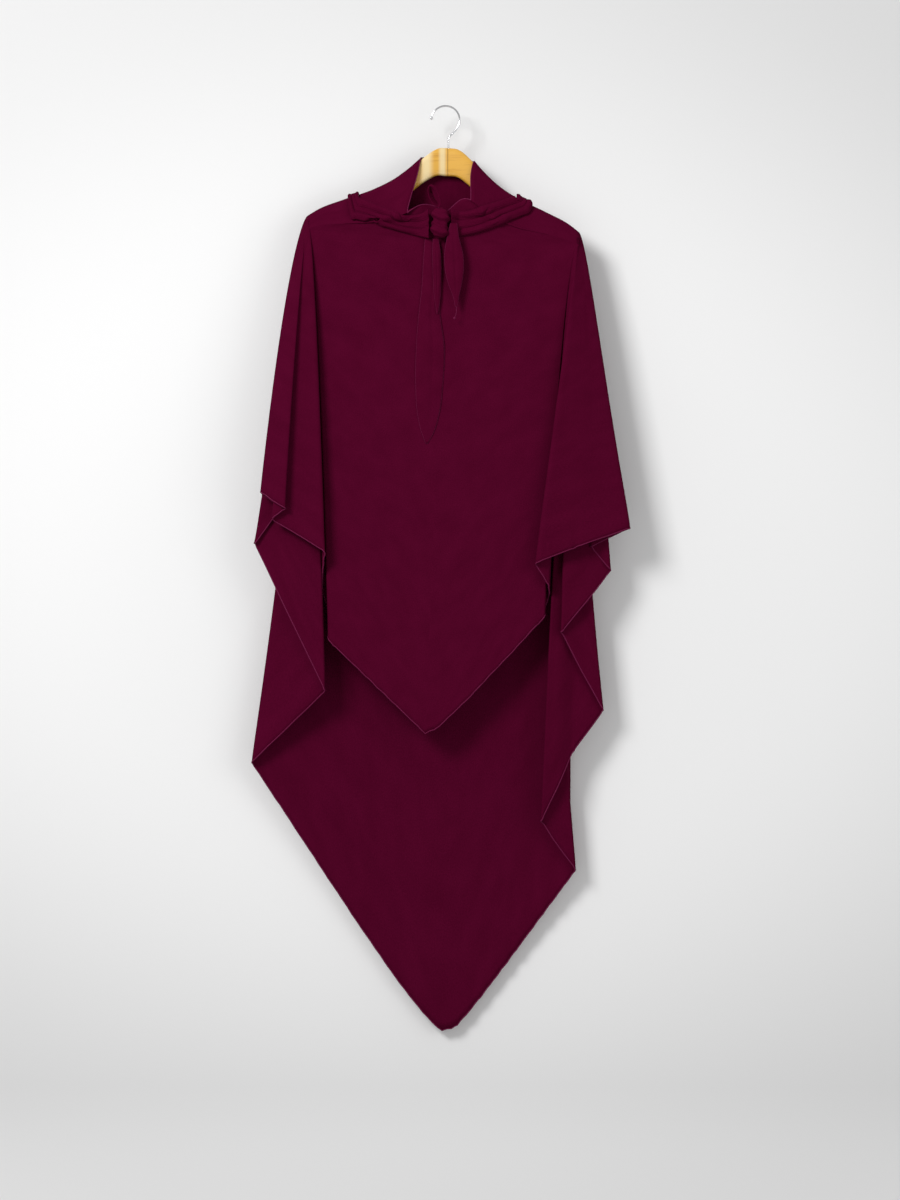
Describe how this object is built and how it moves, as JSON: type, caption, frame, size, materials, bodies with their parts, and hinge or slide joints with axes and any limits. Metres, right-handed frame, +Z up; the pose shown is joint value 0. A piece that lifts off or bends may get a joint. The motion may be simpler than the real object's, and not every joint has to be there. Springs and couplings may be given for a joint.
{
  "type": "khimar veil on a coat hanger",
  "caption": "Long crepe khimar veil with a face opening, knotted ties and folds falling to pointed hems, hung on a wooden coat hanger.",
  "frame": {"origin": "the point at the inner top of the hanger's hook, where the whole thing hangs", "axes": "+Z up, -Y towards the viewer at the front of the veil, +X to the viewer's right"},
  "size_m": [0.6342, 0.1012, 1.5521],
  "materials": {
    "veil": "matte crepe",
    "tie_left": "matte crepe",
    "tie_right": "matte crepe",
    "tie_knot": "matte crepe",
    "tie_loop": "matte crepe",
    "tail_long": "matte crepe",
    "tail_middle": "matte crepe",
    "tail_short": "matte crepe",
    "hanger_wood": "clear gloss lacquer",
    "hanger_hook": "polished"
  },
  "bodies": {
    "root": {"veil": "veil", "tie_left": "tie_left", "tie_right": "tie_right", "tie_knot": "tie_knot", "tie_loop": "tie_loop", "tail_long": "tail_long", "tail_middle": "tail_middle", "tail_short": "tail_short", "hanger_wood": "hanger_wood", "hanger_hook": "hanger_hook"}
  },
  "joints": []
}
